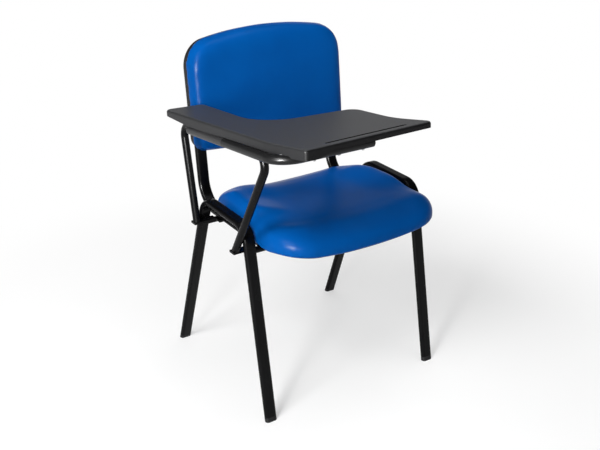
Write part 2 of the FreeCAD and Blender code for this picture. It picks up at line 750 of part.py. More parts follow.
def back_outline(inset):
    wide = back_half - inset
    low = size("back_low") + inset
    high = size("back_high") - inset
    shoulder = high - size("back_arch")
    low_corner = size("back_low_corner") - inset
    top_corner = size("back_top_corner") - inset
    sag = bow_radius(wide, size("back_sag"), SAG_SHARE)
    arch = bow_radius(wide, size("back_arch"), ARCH_SHARE)
    return [(-wide, low, low_corner), (ZERO, low - size("back_sag"), sag),
            (wide, low, low_corner), (wide, shoulder, top_corner),
            (ZERO, high, arch), (-wide, shoulder, top_corner)]


contact = (upright_x - size("tube_width") / 2 + size("tube_depth") / 2).value
rear_face = -(size("tube_depth") / 2 + size("back_seat_gap")).value
curve = size("back_curve").value
curve_middle = rear_face - math.sqrt(curve ** 2 - contact ** 2)
cushion_front = curve_middle + curve - (size("back_board") + size("back_cushion")).value
crown_middle = cushion_front - size("back_crown").value
slab = back_half * 2


def back_slab(name, inset, inner, outer, inner_middle=curve_middle):
    """What lies inside the outline and between two upright cylinders."""
    prism = new_body(name + "_prism")
    face = sketch_on(prism, "XZ_Plane")
    draw_outline(face, back_outline(inset))
    pad(prism, face, slab, both_ways=True)
    tall = size("back_high") * 2
    rear = cylinder(name + "_rear", outer, tall, Placement(Vector(0, curve_middle, 0), UNTURNED))
    front = cylinder(name + "_front", inner, tall, Placement(Vector(0, inner_middle, 0), UNTURNED))
    layer = cut(name + "_layer", rear, front)
    feature = doc.addObject("Part::Common", name)
    feature.Base = prism
    feature.Tool = layer
    return feature


def rounded_edges(label, base, radius, chosen):
    """The base with the edges rounded for which chosen(edge) is true."""
    doc.recompute()
    feature = doc.addObject("Part::Fillet", label)
    feature.Base = base
    picked = [index for index, edge in enumerate(base.Shape.Edges, start=1) if chosen(edge)]
    feature.Edges = [(index, radius.value, radius.value) for index in picked]
    return feature


def on_cylinder(edge, radius, middle):
    """True for an edge that lies all along an upright cylinder."""
    spots = edge.discretize(5)
    return all(abs(math.hypot(spot.x, spot.y - middle) - radius) < 0.05 for spot in spots)


def back_holes_axis(name, radius, length):
    """Rods along the back's depth, at the four back bolts."""
    rods = []
    for sign in (1, -1):
        for row in back_rows:
            start = Vector(sign * upright_x.value, -length.value / 2, row.value)
            rods.append(cylinder("%s_%d_%d" % (name, sign, row.value), radius, length,
                                 Placement(start, Rotation(X_AXIS, -90))))
    return together(name, rods)


board_slab = back_slab("back_board_slab", size("back_board_inset"), size("back_curve") - size("back_board"),
                       size("back_curve"))
back_board = cut("back_board", board_slab, back_holes_axis(
    "back_board_holes", size("nut_barrel") / 2 + size("thread_clearance"), slab))
back_board.Placement = back_place
nodes.append(back_board)

cushion_slab = back_slab("back_cushion_slab", ZERO, size("back_crown"), size("back_curve"), crown_middle)
soft_slab = rounded_edges("back_cushion_soft", cushion_slab, size("back_front_edge"),
                          lambda edge: on_cylinder(edge, size("back_crown").value, crown_middle))
board_room = back_slab("back_board_room", size("back_board_inset") - size("board_clearance"),
                       size("back_curve") - size("back_board"), size("back_curve") + 1)
back_cushion = cut("back_cushion", soft_slab, board_room)
back_cushion.Placement = back_place
nodes.append(back_cushion)

shell_rear = size("back_curve") + size("shell_depth")
shell_slab = back_slab("back_shell_slab", size("shell_inset"), size("back_curve") + size("shell_gap"),
                       shell_rear)
shell_soft = rounded_edges("back_shell_soft", shell_slab, size("shell_edge"),
                           lambda edge: on_cylinder(edge, shell_rear.value, curve_middle))
shell_room = back_slab("back_shell_room", size("shell_inset") + size("shell_wall"), size("back_curve"),
                       shell_rear - size("shell_wall"))
notch_wide = size("tube_width") / 2 + size("shell_notch")
notch_deep = size("tube_depth") / 2 + size("shell_notch")
notch_top = size("back_low") + size("back_low_corner")
notches = []
for sign in (1, -1):
    notches.append(box("upright_notch_%d" % sign, (upright_x * sign - notch_wide, -notch_deep, ZERO),
                       (upright_x * sign + notch_wide, notch_deep, notch_top)))
back_shell = cut("back_shell", shell_soft, together("back_shell_cuts", [shell_room] + notches))
back_shell.Placement = back_place
nodes.append(back_shell)

# Back fasteners: T-nuts in the board, bolts through the uprights
back_nut_reach = size("back_board") - size("nut_flange_height")
back_nut = turned("back_t_nut", [
    (size("bolt_diameter") / 2 + size("thread_clearance"), 0),
    (size("nut_barrel") / 2, 0),
    (size("nut_barrel") / 2, back_nut_reach),
    (size("bolt_diameter") / 2 + size("thread_clearance"), back_nut_reach),
])
back_bolt = bolt("back_bolt", size("tube_depth") + size("back_board"))
board_rear_at_bolt = curve_middle + math.sqrt(curve ** 2 - upright_x.value ** 2)
back_nuts = []
back_bolts = []
for sign in (1, -1):
    for row in back_rows:
        forwards = Rotation(X_AXIS, 90)
        nut_start = Vector(sign * upright_x.value, board_rear_at_bolt, row.value)
        back_nuts.append(back_place.multiply(Placement(nut_start, forwards)))
        head_at = Vector(sign * upright_x.value, size("tube_depth").value / 2, row.value)
        back_bolts.append(back_place.multiply(Placement(head_at, forwards)))
nodes.append(copies("back_t_nuts", back_nut, back_nuts))
nodes.append(copies("back_bolts", back_bolt, back_bolts))

# Arm: one round tube bent to front upright, top rail and rear upright
arm_x = -(leg_x + size("tube_width") / 2 + size("arm_diameter") / 2 + size("arm_clearance"))
tilt = tangent(size("hinge_tilt"))
strap_top = bearer_under + size("strap_rise")
arm_rise = size("hinge_height") - strap_top
front_slope = tangent(size("arm_front_tilt"))
rear_slope = tangent(size("arm_rear_tilt"))
front_top = (front_row - front_slope * arm_rise) / (as_size(1) - front_slope * tilt)
rear_top = (rear_row + rear_slope * arm_rise) / (as_size(1) + rear_slope * tilt)
below = size("arm_diameter")
arm_corners = [
    (front_row + front_slope * below, strap_top - below, None),
    (front_top, size("hinge_height") - tilt * front_top, size("arm_bend")),
    (rear_top, size("hinge_height") - tilt * rear_top, size("arm_bend")),
    (rear_row - rear_slope * below, strap_top - below, None),
]
arm_blank = bent_tube("arm_blank", "YZ_Plane", arm_corners,
                      lambda sketch: draw_circle(sketch, size("arm_diameter") / 2),
                      lambda sketch: draw_circle(sketch, size("arm_diameter") / 2 - size("arm_wall")))
arm_blank.Placement = Placement(Vector(arm_x.value, 0, 0), UNTURNED)
under_straps = box("under_straps", (-floor_size, -floor_size, ZERO), (floor_size, floor_size, strap_top))
nodes.append(cut("arm_tube", arm_blank, under_straps))

# Straps: flat steel, joggled up beside the bearer, the rear one notched for the leg
outer_end = arm_x - size("arm_diameter") / 2 - size("strap_lip")
inner_end = -bolt_x + size("strap_margin")
joggle_start = -upright_x - size("tube_width") / 2 - size("joggle_gap")
joggle_end = joggle_start - size("strap_slant")
strap_under = bearer_under - size("strap_thickness")
strap_profile = [(inner_end, strap_under, None), (inner_end, bearer_under, None),
                 (joggle_start, bearer_under, None), (joggle_end, strap_top, None),
                 (outer_end, strap_top, None), (outer_end, strap_top - size("strap_thickness"), None),
                 (joggle_end, strap_top - size("strap_thickness"), None), (joggle_start, strap_under, None)]
for end_name, row in (("front", front_row), ("rear", rear_row)):
    strap = new_body(end_name + "_strap_blank")
    strap_side = sketch_on(strap, "XZ_Plane")
    draw_outline(strap_side, strap_profile)
    pad(strap, strap_side, size("strap_width"), both_ways=True)
    strap_hole = sketch_on(strap, "XY_Plane")
    draw_circle(strap_hole, bolt_hole, -bolt_x)
    pocket(strap, strap_hole)
    strap.Placement = Placement(Vector(0, row.value, 0), UNTURNED)
    nodes.append(cut(end_name + "_arm_strap", strap, side_cores[1]))

# Hinge: its frame has the hinge axis as Y; the tablet's frame shares the origin and lies a little flatter
hinge_x = arm_x - size("arm_diameter") / 2 - size("hinge_diameter") / 2 - size("weld_gap")
hinge_origin = Vector(hinge_x.value, 0, size("hinge_height").value)
hinge_place = Placement(hinge_origin, Rotation(X_AXIS, -size("hinge_tilt").value))
tablet_place = Placement(hinge_origin, Rotation(X_AXIS, -size("tablet_tilt").value))
hinge_in_tablet = tablet_place.inverse().multiply(hinge_place)
hinge_outer = size("hinge_diameter") / 2
hinge_bore = hinge_outer - size("hinge_wall")


def along_hinge(start, forwards=True):
    """Turns a piece's Z axis along the hinge, forwards or backwards, from a point on it."""
    turn = Rotation(X_AXIS, 90 if forwards else -90)
    return hinge_place.multiply(Placement(Vector(0, start.value, 0), turn))


sleeve_length = size("sleeve_rear") + size("sleeve_front")
sleeve_blank = turned("sleeve_blank", [(hinge_bore, 0), (hinge_outer, 0),
                                       (hinge_outer, sleeve_length), (hinge_bore, sleeve_length)])
pin_at = size("sleeve_front") - size("bush_length") * 2
pin_room = Placement(Vector(0, -pin_at.value, -size("hinge_diameter").value), UNTURNED)
pin_hole = cylinder("stop_pin_hole", size("stop_pin_diameter") / 2 + size("thread_clearance"),
                    size("hinge_diameter"), hinge_place.multiply(pin_room))
sleeve_blank.Placement = along_hinge(size("sleeve_rear"))
nodes.append(cut("hinge_sleeve", sleeve_blank, pin_hole))


def round_plug(name):
    """An end plug for the sleeve or the tablet tube, its head up from the origin."""
    stem = hinge_bore - size("plug_clearance")
    depth = size("plug_length") / 2
    cap = size("cap_height")
    return turned(name, [(0, -depth), (stem, -depth), (stem, 0), (hinge_outer, 0), (hinge_outer - cap, cap),
                         (0, cap)])


sleeve_plug = round_plug("sleeve_plug")
sleeve_plug.Placement = along_hinge(size("sleeve_rear"), forwards=False)
nodes.append(sleeve_plug)

bush_bore = size("spigot_diameter") / 2 + size("running_clearance")
bush_outer = hinge_bore - size("thread_clearance")
bush_length = size("bush_length")
bush_flange = size("bush_flange")
front_bush = turned("front_hinge_bush", [(bush_bore, -bush_length), (bush_outer, -bush_length), (bush_outer, 0),
                                         (hinge_outer, 0), (hinge_outer, bush_flange),
                                         (bush_bore, bush_flange)])
front_bush.Placement = along_hinge(-size("sleeve_front"))
nodes.append(front_bush)
rear_bush = turned("rear_hinge_bush", [(bush_bore, 0), (bush_outer, 0), (bush_outer, bush_length),
                                       (bush_bore, bush_length)])
rear_bush_at = size("sleeve_rear") - size("plug_length")
rear_bush.Placement = along_hinge(rear_bush_at)
nodes.append(rear_bush)

pin_tip = size("spigot_diameter") / 2 - size("stop_slot_depth") + size("stop_clearance")
stop_pin = turned("stop_pin", [(0, -hinge_outer), (size("stop_pin_diameter") / 2, -hinge_outer),
                               (size("stop_pin_diameter") / 2, -pin_tip), (0, -pin_tip)])
stop_pin.Placement = hinge_place.multiply(Placement(Vector(0, -pin_at.value, 0), UNTURNED))
nodes.append(stop_pin)

# Spigot: turned bar held in the tablet tube, with a slot that the stop pin runs in
tube_start = size("sleeve_front") + bush_flange + size("hinge_end_gap")
spigot_rear = rear_bush_at
shoulder = spigot_rear + tube_start
grip_radius = hinge_bore - size("thread_clearance")
spigot_radius = size("spigot_diameter") / 2
spigot_blank = turned("spigot_blank", [(0, 0), (spigot_radius, 0), (spigot_radius, shoulder),
                                       (grip_radius, shoulder), (grip_radius, shoulder + size("spigot_grip")),
                                       (0, shoulder + size("spigot_grip"))])
spigot_blank.Placement = along_hinge(spigot_rear)
slot_width = size("stop_pin_diameter") + size("stop_clearance") * 2
slot_floor = spigot_radius - size("stop_slot_depth")
pin_half_angle = math.degrees(math.asin((size("stop_pin_diameter") / 2 + size("stop_clearance")).value
                                        / slot_floor.value))
slot_turn = size("tablet_turn_angle").value + 2 * pin_half_angle
slot_place = along_hinge(-pin_at + slot_width / 2)
slot_place = slot_place.multiply(Placement(Vector(), Rotation(Z_AXIS, pin_half_angle - 90 - slot_turn)))
slot_sector = cylinder("stop_slot_sector", size("hinge_diameter"), slot_width, slot_place)
slot_sector.Angle = slot_turn
slot_core = cylinder("stop_slot_core", slot_floor, slot_width, slot_place)
slot_cut = cut("stop_slot", slot_sector, slot_core)
nodes.append(cut("hinge_spigot", spigot_blank, slot_cut))

# Tablet tube: continues the sleeve, then turns inboard under the writing face
screw_row = -size("tube_reach")
screw_columns = [size("boss_start") + size("boss_pitch") * index for index in range(3)]
tube_corners = [(ZERO, -tube_start, None), (ZERO, screw_row, size("tube_bend")),
                (size("tube_end"), screw_row, None)]
tablet_tube = bent_tube("tablet_tube", "XY_Plane", tube_corners,
                        lambda sketch: draw_circle(sketch, hinge_outer),
                        lambda sketch: draw_circle(sketch, hinge_bore))
tube_holes = sketch_on(tablet_tube, "XY_Plane")
for column in screw_columns:
    draw_circle(tube_holes, size("screw_diameter") / 2 + size("bolt_clearance"), column, screw_row)
pocket(tablet_tube, tube_holes)
tablet_tube.Placement = hinge_place
nodes.append(tablet_tube)

tube_plug = round_plug("tablet_tube_plug")
tube_plug.Placement = hinge_place.multiply(Placement(Vector(size("tube_end").value, screw_row.value, 0),
                                                     Rotation(Y_AXIS, 90)))
nodes.append(tube_plug)

# Tablet top: moulded plate with a skirt on the outer side, a lower rim elsewhere, ribs, bosses and posts

def tablet_outline(inset):
    front = size("front_corner") - inset
    rear = size("rear_corner") - inset
    return [
        (-size("rear_outer") + inset, size("tablet_rear") - inset, rear),
        (size("outer_flare") + inset, -size("flare_start"), size("outer_flare_radius") - inset),
        (size("front_outer") + inset, -size("tablet_front") + inset, front),
        (size("front_inner") - inset, size("front_slant") - size("tablet_front") + inset, front),
        (size("inner_flare") - inset, -size("flare_start"), size("inner_flare_radius") + inset),
        (size("back_inner") - inset, -size("writing_back") - inset, size("writing_corner") - inset),
        (size("elbow_inner") - inset, -size("elbow_front") - inset, size("elbow_curve") + inset),
        (size("elbow_inner") - inset, size("tablet_rear") - size("elbow_slant") - inset, rear),
    ]


face_level = size("tablet_above")
plate_under = face_level - size("tablet_plate")
skirt_under = face_level - size("tablet_skirt")
rim_under = face_level - size("tablet_rim")
shell = new_body("tablet_shell")
top_face = sketch_on(shell, "XY_Plane", Placement(Vector(0, 0, face_level.value), UNTURNED))
draw_outline(top_face, tablet_outline(ZERO))
slab_pad = pad(shell, top_face, size("tablet_skirt"), downwards=True)
doc.recompute()
nose = shell.newObject("PartDesign::Fillet", "tablet_nose_rounding")
top_edges = [index for index, edge in enumerate(slab_pad.Shape.Edges, start=1)
             if all(abs(vertex.Z - face_level.value) < 0.01 for vertex in edge.Vertexes)]
nose.Base = (slab_pad, ["Edge%d" % index for index in top_edges])
bind(nose, "Radius", size("tablet_nose"))
hollow = sketch_on(shell, "XY_Plane", Placement(Vector(0, 0, skirt_under.value), UNTURNED))
draw_outline(hollow, tablet_outline(size("rim_wall")))
pocket(shell, hollow, size("tablet_skirt") - size("tablet_plate"), upwards=True)
# The skirt runs out into the lower rim along the front edge, and into the rear end
trim = sketch_on(shell, "XZ_Plane")
trim_low = skirt_under - size("tablet_skirt")
trim_far = size("front_inner") * 2
draw_outline(trim, [(size("front_outer") * 2, trim_low, None), (trim_far, trim_low, None),
                    (trim_far, rim_under, None), (size("front_outer") * 3, rim_under, None),
                    (size("front_outer") * 2, skirt_under, None)])
pocket(shell, trim)
rear_trim = sketch_on(shell, "YZ_Plane")
trim_start = size("tablet_rear") - size("tablet_skirt") * 5
draw_outline(rear_trim, [(trim_start, trim_low, None), (size("tablet_rear") * 2, trim_low, None),
                         (size("tablet_rear") * 2, rim_under, None), (size("tablet_rear"), rim_under, None),
                         (trim_start, skirt_under, None)])
pocket(shell, rear_trim)
# The pencil groove runs beside the front edge, at the same slant
groove_x = size("groove_start") + size("groove_length") / 2
slant = size("front_slant") / (size("front_inner") - size("front_outer"))
groove_y = slant * (groove_x - size("front_outer")) + size("groove_back") - size("tablet_front")
groove_turn = Rotation(Z_AXIS, math.degrees(math.atan(slant.value)))
groove = sketch_on(shell, "XY_Plane",
                   Placement(Vector(groove_x.value, groove_y.value, face_level.value), groove_turn))
draw_oval(groove, size("groove_length"), size("groove_width"))
pocket(shell, groove, size("groove_depth"))

rib_room = new_body("rib_room")
rib_face = sketch_on(rib_room, "XY_Plane", Placement(Vector(0, 0, plate_under.value), UNTURNED))
draw_outline(rib_face, tablet_outline(size("rim_wall") / 2))
pad(rib_room, rib_face, size("rib_height"), downwards=True)
ribs = []
rib_low = plate_under - size("rib_height")
rib_count = int((size("front_inner").value - size("elbow_inner").value) / size("rib_pitch").value) + 1
for index in range(rib_count):
    start = size("elbow_inner") / 2 + size("rib_pitch") * index
    ribs.append(box("long_rib_%d" % index, (start, -size("tablet_front"), rib_low),
                    (start + size("rib_thickness"), size("tablet_rear"), plate_under)))
cross_count = int(size("writing_back").value / size("rib_pitch").value) + 1
for index in range(cross_count):
    start = -size("writing_back") - size("rib_pitch") * (index + 0.6)
    ribs.append(box("cross_rib_%d" % index, (-size("rear_outer"), start, rib_low),
                    (size("front_inner"), start + size("rib_thickness"), plate_under)))
rib_grid = doc.addObject("Part::Common", "rib_grid")
rib_grid.Base = fused("rib_bars", ribs)
rib_grid.Tool = rib_room

bosses = []
tube_lift = size("tube_reach") * tangent(size("hinge_tilt") - size("tablet_tilt"))
for index, column in enumerate(screw_columns):
    half = size("boss_length") / 2
    bosses.append(box("boss_%d" % index,
                      (column - half, screw_row - size("boss_width") / 2, tube_lift),
                      (column + half, screw_row + size("boss_width") / 2, plate_under)))
pad_column = (arm_x - hinge_x).value
pad_low = size("arm_diameter") / 2 + size("pad_gap")
pad_rows = (size("pad_rear"), -size("pad_front"))
posts = []
for index, row in enumerate(pad_rows):
    lift = row * tangent(size("hinge_tilt") - size("tablet_tilt"))
    foot = Vector(pad_column, row.value, (pad_low + size("pad_height")).value)
    reach = plate_under + lift - pad_low - size("pad_height") + size("post_bite")
    posts.append(cylinder("rest_post_%d" % index, size("pad_diameter") / 2, reach,
                          hinge_in_tablet.multiply(Placement(foot, UNTURNED))))
tube_room = cylinder("tube_room", hinge_outer + size("thread_clearance"), size("tube_end"),
                     hinge_in_tablet.multiply(Placement(Vector(0, screw_row.value, 0), Rotation(Y_AXIS, 90))))
screw_reach = plate_under - tube_lift - size("screw_end_gap")
pilots = []
for index, column in enumerate(screw_columns):
    start = Placement(Vector(column.value, screw_row.value, 0), UNTURNED)
    pilots.append(cylinder("pilot_%d" % index, size("screw_diameter") / 2 + size("thread_clearance"),
                           screw_reach, hinge_in_tablet.multiply(start)))
hinge_room = bent_tube("hinge_room", "XY_Plane", [(ZERO, size("tablet_rear"), None)] + tube_corners[1:],
                       lambda sketch: draw_circle(sketch, hinge_outer + size("skirt_gap")))
hinge_room.Placement = hinge_in_tablet
clear_shell = cut("tablet_clear_shell", shell, hinge_room)
moulding = fused("tablet_moulding", [clear_shell, rib_grid] + bosses + posts)
tablet_top = cut("tablet_top", moulding, together("tablet_cuts", [tube_room] + pilots))
tablet_top.Placement = tablet_place
nodes.append(tablet_top)

rest_pad = turned("rest_pad", [(0, 0), (size("pad_diameter") / 2, 0),
                               (size("pad_diameter") / 2, size("pad_height")), (0, size("pad_height"))])
pad_places = []
for row in pad_rows:
    pad_places.append(hinge_place.multiply(Placement(Vector(pad_column, row.value, pad_low.value), UNTURNED)))
nodes.append(copies("rest_pads", rest_pad, pad_places))

screw_head = size("screw_head") / 2
screw_shank = size("screw_diameter") / 2
screw = turned("tablet_screw", [(0, -size("screw_head_height")), (screw_head / 2, -size("screw_head_height")),
                                (screw_head, 0), (screw_shank, 0),
                                (screw_shank, hinge_outer + screw_reach - size("screw_diameter")),
                                (0, hinge_outer + screw_reach)])
cross_face = Placement(Vector(0, 0, -size("screw_head_height").value), UNTURNED)
cross_recess = sketch_on(screw, "XY_Plane", cross_face)
far = screw_head / 2
near = size("screw_recess") / 2
draw_outline(cross_recess, [(far, -near, None), (far, near, None), (near, near, None), (near, far, None),
                            (-near, far, None), (-near, near, None), (-far, near, None), (-far, -near, None),
                            (-near, -near, None), (-near, -far, None), (near, -far, None), (near, -near, None)])
pocket(screw, cross_recess, size("screw_recess"), upwards=True)
screw_places = []
for column in screw_columns:
    under_tube = Vector(column.value, screw_row.value, -hinge_outer.value)
    screw_places.append(hinge_place.multiply(Placement(under_tube, UNTURNED)))
nodes.append(copies("tablet_screws", screw, screw_places))

# The origin goes to the floor under the middle of the chair's box
doc.recompute()
overall = FreeCAD.BoundBox()
for node in nodes:
    overall.add(node.Shape.optimalBoundingBox())
shift = Vector(-overall.Center.x, -overall.Center.y, -overall.ZMin)
for node in nodes:
    node.Placement = Placement(shift, UNTURNED).multiply(node.Placement)
doc.recompute()

# Every feature built, every piece a sound solid
for item in doc.Objects:
    if "Invalid" in item.State or "Error" in item.State:
        raise RuntimeError("%s did not build: %s" % (item.Name, item.State))
for node in nodes:
    if node.Shape.isNull() or not node.Shape.isValid() or not node.Shape.Solids:
        raise RuntimeError("%s is not a sound solid" % node.Label)

os.makedirs("parts", exist_ok=True)
for node in nodes:
    node.Shape.exportStep("parts/%s.step" % node.Label)
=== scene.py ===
"""A stackable conference chair with a writing tablet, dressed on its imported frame.

Metres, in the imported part's frame: +Z is up, the chair faces -Y and the tablet is on the -X side.
"""
import math

import bmesh
import bpy
from mathutils import Matrix, Vector


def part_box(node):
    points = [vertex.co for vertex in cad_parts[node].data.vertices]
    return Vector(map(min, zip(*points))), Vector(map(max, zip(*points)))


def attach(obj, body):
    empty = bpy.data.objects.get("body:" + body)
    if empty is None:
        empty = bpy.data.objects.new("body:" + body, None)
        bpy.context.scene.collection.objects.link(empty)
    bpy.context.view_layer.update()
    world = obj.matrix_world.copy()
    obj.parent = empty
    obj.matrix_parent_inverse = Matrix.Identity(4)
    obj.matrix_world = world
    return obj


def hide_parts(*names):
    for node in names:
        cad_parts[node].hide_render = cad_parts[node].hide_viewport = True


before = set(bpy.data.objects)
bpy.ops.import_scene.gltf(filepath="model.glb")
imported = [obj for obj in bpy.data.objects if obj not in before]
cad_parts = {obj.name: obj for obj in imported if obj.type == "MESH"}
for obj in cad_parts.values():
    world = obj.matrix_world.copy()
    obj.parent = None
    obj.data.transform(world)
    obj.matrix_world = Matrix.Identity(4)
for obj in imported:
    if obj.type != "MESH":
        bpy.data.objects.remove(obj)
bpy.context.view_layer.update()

# Side frames and cross tubes
# Each side frame is one oval steel tube, bent to a front leg, a rail and a rear leg. Two round tubes
# are coped and welded between the legs. All of it has a satin black powder coat.
merge_distance = 1e-5
crease_angle = math.radians(35.0)


def smooth_copy(node, body, finish):
    """The node's own shape with its facets merged and shaded round, in a new piece that stands for it."""
    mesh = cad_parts[node].data.copy()
    shape = bmesh.new()
    shape.from_mesh(mesh)
    bmesh.ops.remove_doubles(shape, verts=shape.verts, dist=merge_distance)
    for face in shape.faces:
        face.smooth = True
    for edge in shape.edges:
        edge.smooth = len(edge.link_faces) == 2 and edge.calc_face_angle(0.0) < crease_angle
    shape.to_mesh(mesh)
    shape.free()
    mesh.materials.clear()
    mesh.materials.append(finish)
    piece = bpy.data.objects.new(node + "_looks", mesh)
    bpy.context.scene.collection.objects.link(piece)
    even = piece.modifiers.new("even", "WEIGHTED_NORMAL")
    even.keep_sharp = True
    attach(piece, body)
    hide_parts(node)
    return piece


def new_finish(name):
    """A material with a Principled shader, and object coordinates to hang its patterns on."""
    finish = bpy.data.materials.new(name)
    finish.use_nodes = True
    nodes = finish.node_tree.nodes
    shader = nodes["Principled BSDF"]
    coordinates = nodes.new("ShaderNodeTexCoord")
    return finish, shader, coordinates


def add_noise(finish, coordinates, scale, detail):
    """A soft random pattern through the piece."""
    noise = finish.node_tree.nodes.new("ShaderNodeTexNoise")
    noise.inputs["Scale"].default_value = scale
    noise.inputs["Detail"].default_value = detail
    finish.node_tree.links.new(coordinates.outputs["Object"], noise.inputs["Vector"])
    return noise.outputs["Fac"]


def shade_between(finish, pattern, shader, low, high, start=0.3, end=0.7):
    """Drives the base colour from one colour to another by a pattern's value."""
    ramp = finish.node_tree.nodes.new("ShaderNodeValToRGB")
    ramp.color_ramp.elements[0].position = start
    ramp.color_ramp.elements[0].color = (*low, 1.0)
    ramp.color_ramp.elements[1].position = end
    ramp.color_ramp.elements[1].color = (*high, 1.0)
    finish.node_tree.links.new(pattern, ramp.inputs["Fac"])
    finish.node_tree.links.new(ramp.outputs["Color"], shader.inputs["Base Color"])


def vary(finish, pattern, socket, low, high):
    """Drives a number socket between two values by a pattern's value."""
    span = finish.node_tree.nodes.new("ShaderNodeMapRange")
    span.inputs["To Min"].default_value = low
    span.inputs["To Max"].default_value = high
    finish.node_tree.links.new(pattern, span.inputs["Value"])
    finish.node_tree.links.new(span.outputs["Result"], socket)


def grain(finish, pattern, shader, depth, strength):
    """Raises the surface by a pattern; depth is in metres."""
    bump = finish.node_tree.nodes.new("ShaderNodeBump")
    bump.inputs["Distance"].default_value = depth
    bump.inputs["Strength"].default_value = strength
    finish.node_tree.links.new(pattern, bump.inputs["Height"])
    finish.node_tree.links.new(bump.outputs["Normal"], shader.inputs["Normal"])


def powder_coat():
    finish, shader, coordinates = new_finish("satin_black_powder_coat")
    cloud = add_noise(finish, coordinates, scale=14.0, detail=3.0)
    shade_between(finish, cloud, shader, low=(0.0024, 0.0024, 0.0027), high=(0.0042, 0.0042, 0.0046))
    peel = add_noise(finish, coordinates, scale=700.0, detail=2.0)
    vary(finish, cloud, shader.inputs["Roughness"], low=0.22, high=0.30)
    grain(finish, peel, shader, depth=0.00012, strength=0.25)
    shader.inputs["Specular IOR Level"].default_value = 0.08
    return finish


black_coat = powder_coat()
for node in ("left_side_frame", "right_side_frame", "front_cross_tube", "rear_cross_tube"):
    smooth_copy(node, "frame", black_coat)

# Glides
# Black plastic feet, each a plug in the leg's open end with a sole that is level on the floor.


def moulded_black():
    finish, shader, coordinates = new_finish("black_moulded_plastic")
    cloud = add_noise(finish, coordinates, scale=22.0, detail=3.0)
    shade_between(finish, cloud, shader, low=(0.006, 0.006, 0.006), high=(0.010, 0.010, 0.011))
    stipple = add_noise(finish, coordinates, scale=1500.0, detail=2.0)
    vary(finish, cloud, shader.inputs["Roughness"], low=0.50, high=0.62)
    grain(finish, stipple, shader, depth=0.00015, strength=0.5)
    shader.inputs["Specular IOR Level"].default_value = 0.15
    return finish


black_plastic = moulded_black()
for node in ("front_left_glide", "front_right_glide", "rear_left_glide", "rear_right_glide"):
    smooth_copy(node, "frame", black_plastic)

# Back uprights
# Two oval tubes, bent to a seat bearer and a leaning upright, with plastic plugs in their upper ends.
for node in ("left_back_upright", "right_back_upright"):
    smooth_copy(node, "frame", black_coat)
smooth_copy("upright_plugs", "frame", black_plastic)

# Seat board, cover and fasteners
# A plywood board under the foam, a thin plastic cover below it, and bolts through the bearers into
# T-nuts. The board and the cover are bent up at the seat's front corners.


def plywood():
    finish, shader, coordinates = new_finish("birch_plywood")
    nodes, links = finish.node_tree.nodes, finish.node_tree.links
    stretch = nodes.new("ShaderNodeMapping")
    stretch.inputs["Scale"].default_value = (60.0, 6.0, 60.0)
    links.new(coordinates.outputs["Object"], stretch.inputs["Vector"])
    figure = nodes.new("ShaderNodeTexNoise")
    figure.inputs["Scale"].default_value = 1.0
    figure.inputs["Detail"].default_value = 4.0
    links.new(stretch.outputs["Vector"], figure.inputs["Vector"])
    shade_between(finish, figure.outputs["Fac"], shader, low=(0.42, 0.27, 0.14), high=(0.62, 0.45, 0.27))
    shader.inputs["Roughness"].default_value = 0.6
    return finish


def zinc_plate():
    finish, shader, coordinates = new_finish("zinc_plated_steel")
    cloud = add_noise(finish, coordinates, scale=120.0, detail=3.0)
    shade_between(finish, cloud, shader, low=(0.48, 0.48, 0.47), high=(0.62, 0.62, 0.62))
    vary(finish, cloud, shader.inputs["Roughness"], low=0.28, high=0.42)
    shader.inputs["Metallic"].default_value = 1.0
    return finish


seat_low, seat_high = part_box("seat_cushion")
seat_middle = (seat_low + seat_high) / 2
seat_half = (seat_high - seat_low) / 2
corner_lift = 0.008
board_share = 0.975  # of its own size, so that the vinyl covers its edge


def ease(start, end, value):
    """Runs from 0 at start to 1 at end, level at both."""
    share = min(max((value - start) / (end - start), 0.0), 1.0)
    return share * share * (3.0 - 2.0 * share)


def seat_place(point):
    """Where a point lies on the seat: across from the middle, 0, to a side, 1, and along from front, -1, to
    rear, 1."""
    across = abs(point.x - seat_middle.x) / seat_half.x
    along = (point.y - seat_middle.y) / seat_half.y
    return across, along


def turned_up(point):
    """How far the whole seat is bent up here: only at its two front corners, ahead of the cross tube."""
    across, along = seat_place(point)
    return corner_lift * ease(0.35, 0.92, across) * ease(-0.36, -0.70, along)


raw_plywood = plywood()
zinc = zinc_plate()
for node, finish in (("seat_board", raw_plywood), ("seat_under_cover", black_plastic)):
    sheet = smooth_copy(node, "frame", finish)
    for vertex in sheet.data.vertices:
        vertex.co.z += turned_up(vertex.co)
        vertex.co.x = seat_middle.x + (vertex.co.x - seat_middle.x) * board_share
        vertex.co.y = seat_middle.y + (vertex.co.y - seat_middle.y) * board_share
for node in ("seat_t_nuts", "seat_bolts"):
    smooth_copy(node, "frame", zinc)

# Seat cushion
# Foam on the board, pulled tight under royal blue vinyl that is stapled below. It is crowned, its sides
# draw in towards the board, and it is flat only underneath.


def add_cells(finish, coordinates, scale):
    """A pattern of small closed cells, as pressed into vinyl and plastic."""
    cells = finish.node_tree.nodes.new("ShaderNodeTexVoronoi")
    cells.inputs["Scale"].default_value = scale
    finish.node_tree.links.new(coordinates.outputs["Object"], cells.inputs["Vector"])
    return cells.outputs["Distance"]


def blue_vinyl():
    finish, shader, coordinates = new_finish("royal_blue_vinyl")
    cloud = add_noise(finish, coordinates, scale=9.0, detail=3.0)
    shade_between(finish, cloud, shader, low=(0.0004, 0.074, 0.315), high=(0.0006, 0.088, 0.362))
    leather = add_cells(finish, coordinates, scale=900.0)
    vary(finish, cloud, shader.inputs["Roughness"], low=0.26, high=0.34)
    grain(finish, leather, shader, depth=0.00018, strength=0.35)
    shader.inputs["Specular IOR Level"].default_value = 0.03
    return finish


